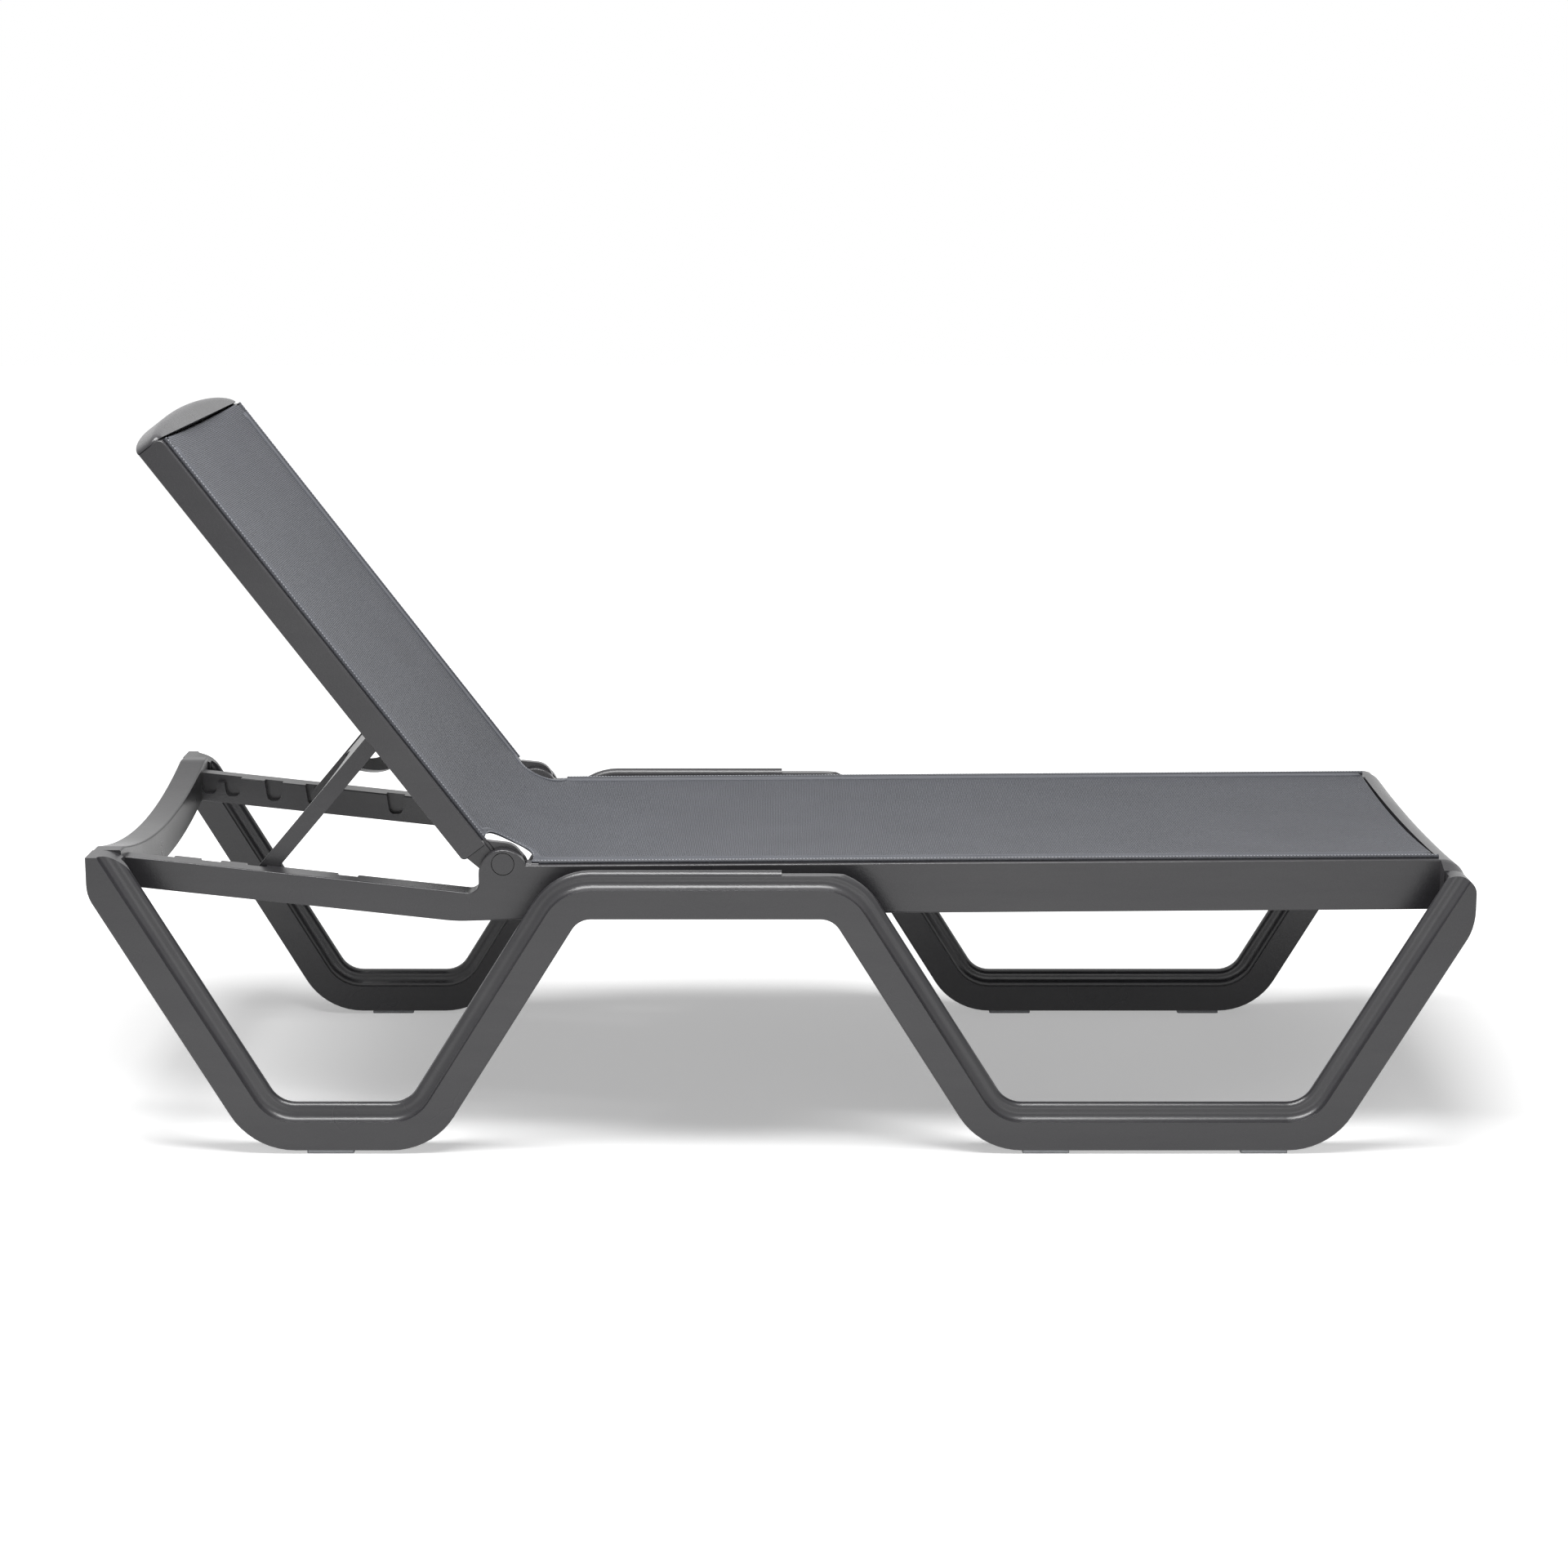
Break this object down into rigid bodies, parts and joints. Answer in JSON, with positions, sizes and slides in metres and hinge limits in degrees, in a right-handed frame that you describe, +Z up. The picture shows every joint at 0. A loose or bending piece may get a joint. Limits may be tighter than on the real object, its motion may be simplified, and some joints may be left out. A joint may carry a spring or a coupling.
{
  "type": "sun lounger",
  "caption": "Sun lounger with a sling on a moulded frame, legs looped from one bar, and a backrest that tilts on hinge pins and is held by a folding strut.",
  "frame": {"origin": "on the floor, under the middle of the base", "axes": "+X to the foot end, +Y to the left side of a person lying on it, +Z up"},
  "size_m": [1.747, 0.705, 0.9251],
  "materials": {
    "frame": "fine matt grain, anthracite",
    "sling": "woven mesh of coated yarn",
    "edge_bead": "satin",
    "glide": "matt",
    "steel": "satin"
  },
  "bodies": {
    "base": {"foot_crossbar": "frame", "head_crossbar": "frame", "left_foot_pad_1": "glide", "left_foot_pad_2": "glide", "left_foot_pad_3": "glide", "left_hinge_pin": "frame", "left_leg_frame": "frame", "left_leg_screws": "steel", "left_seat_keder": "edge_bead", "left_side_rail": "frame", "right_foot_pad_1": "glide", "right_foot_pad_2": "glide", "right_foot_pad_3": "glide", "right_hinge_pin": "frame", "right_leg_frame": "frame", "right_leg_screws": "steel", "right_seat_keder": "edge_bead", "right_side_rail": "frame", "seat_crossbar_1": "frame", "seat_crossbar_2": "frame", "seat_end_rod": "steel", "seat_sling": "sling"},
    "back": {"back_crossbar": "frame", "back_end_rod": "steel", "back_sling": "sling", "back_top_crossbar": "frame", "left_back_keder": "edge_bead", "left_back_rail": "frame", "left_strut_pin": "steel", "right_back_keder": "edge_bead", "right_back_rail": "frame", "right_strut_pin": "steel"},
    "strut": {"left_strut_arm": "frame", "right_strut_arm": "frame", "strut_web": "frame"}
  },
  "joints": [
    {"name": "backrest_hinge", "type": "hinge", "parent": "base", "child": "back", "pos_m": [-0.3561, 0, 0.3642], "axis": [0, 1, 0], "range_deg": [-45, 13.2]},
    {"name": "strut_pivot", "type": "hinge", "parent": "back", "child": "strut", "pos_m": [-0.50867, 0, 0.53212], "axis": [0, 1, 0], "range_deg": [-27, 92]}
  ],
  "couplings": [
    {"joint": "strut_pivot", "follows": "backrest_hinge", "ratio": -2}
  ]
}
